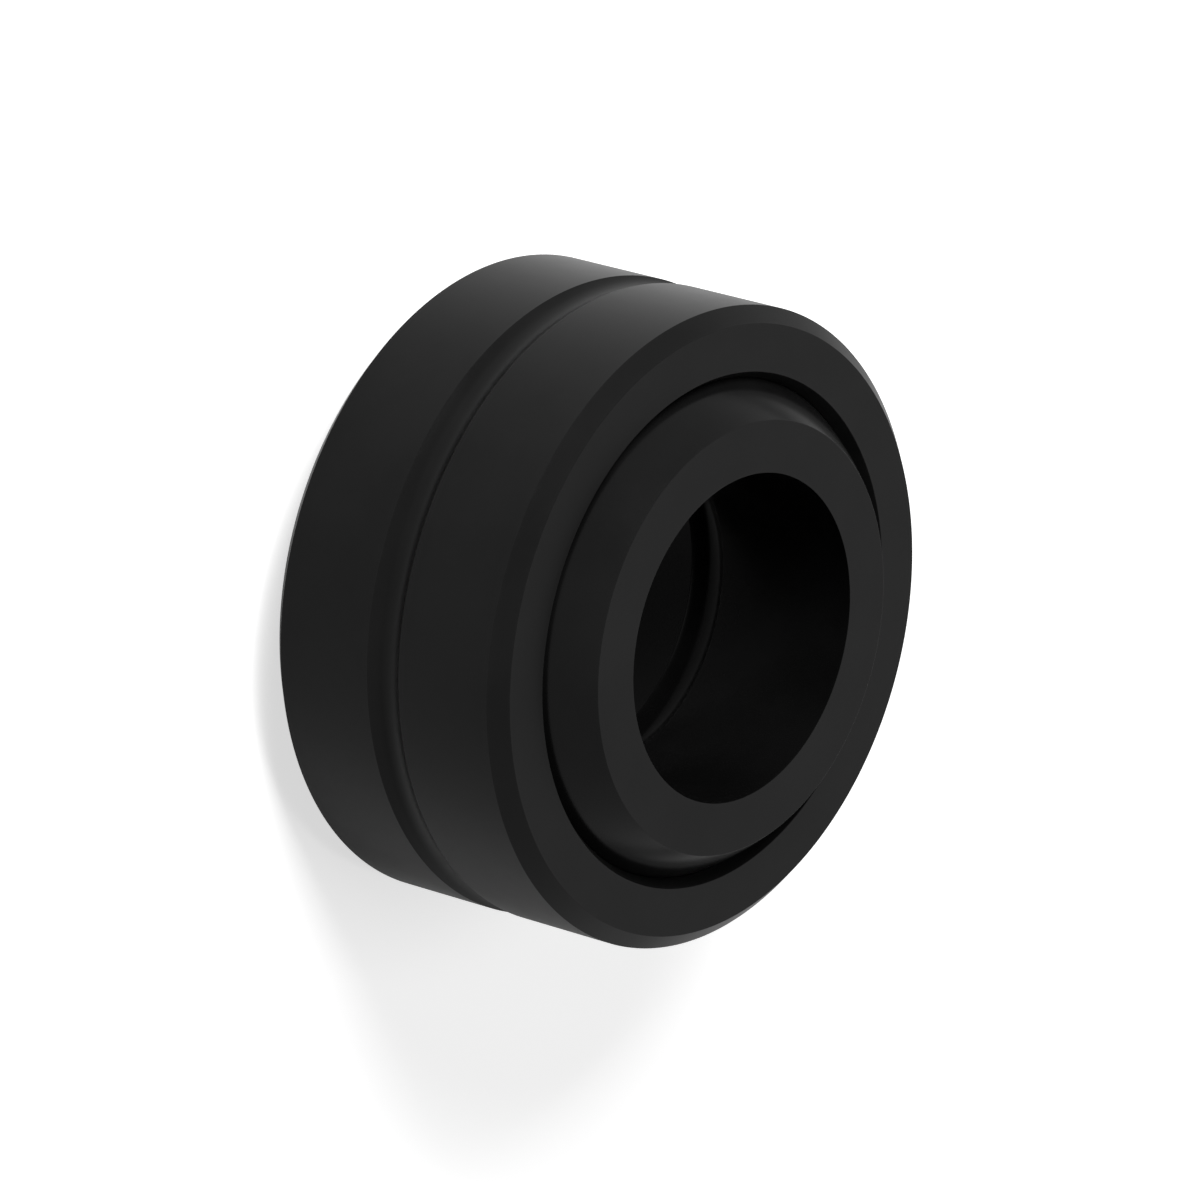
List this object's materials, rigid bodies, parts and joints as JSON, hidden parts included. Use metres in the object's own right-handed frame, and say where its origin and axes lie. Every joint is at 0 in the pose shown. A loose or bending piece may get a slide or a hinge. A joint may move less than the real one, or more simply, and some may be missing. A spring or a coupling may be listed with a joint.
{
  "type": "self-aligning bushing",
  "caption": "Radial spherical plain bearing: a bored steel ball that tilts in a grooved outer ring.",
  "frame": {"origin": "centre of the ball, which is the centre of the whole bearing and the point that it tilts about", "axes": "+Z along the bore axis, with the bearing standing on the inner ring's lower end face; +X along the oil holes, which is also the tilt axis"},
  "size_m": [0.062, 0.062, 0.0354],
  "materials": {
    "outer_ring_steel": "satin",
    "inner_ring_steel": "satin"
  },
  "bodies": {
    "outer_ring": {"outer_ring": "outer_ring_steel"},
    "inner_ring": {"inner_ring": "inner_ring_steel"}
  },
  "joints": [
    {"name": "tilt", "type": "hinge", "parent": "outer_ring", "child": "inner_ring", "pos_m": [0, 0, 0], "axis": [1, 0, 0], "range_deg": [-8, 8]}
  ]
}
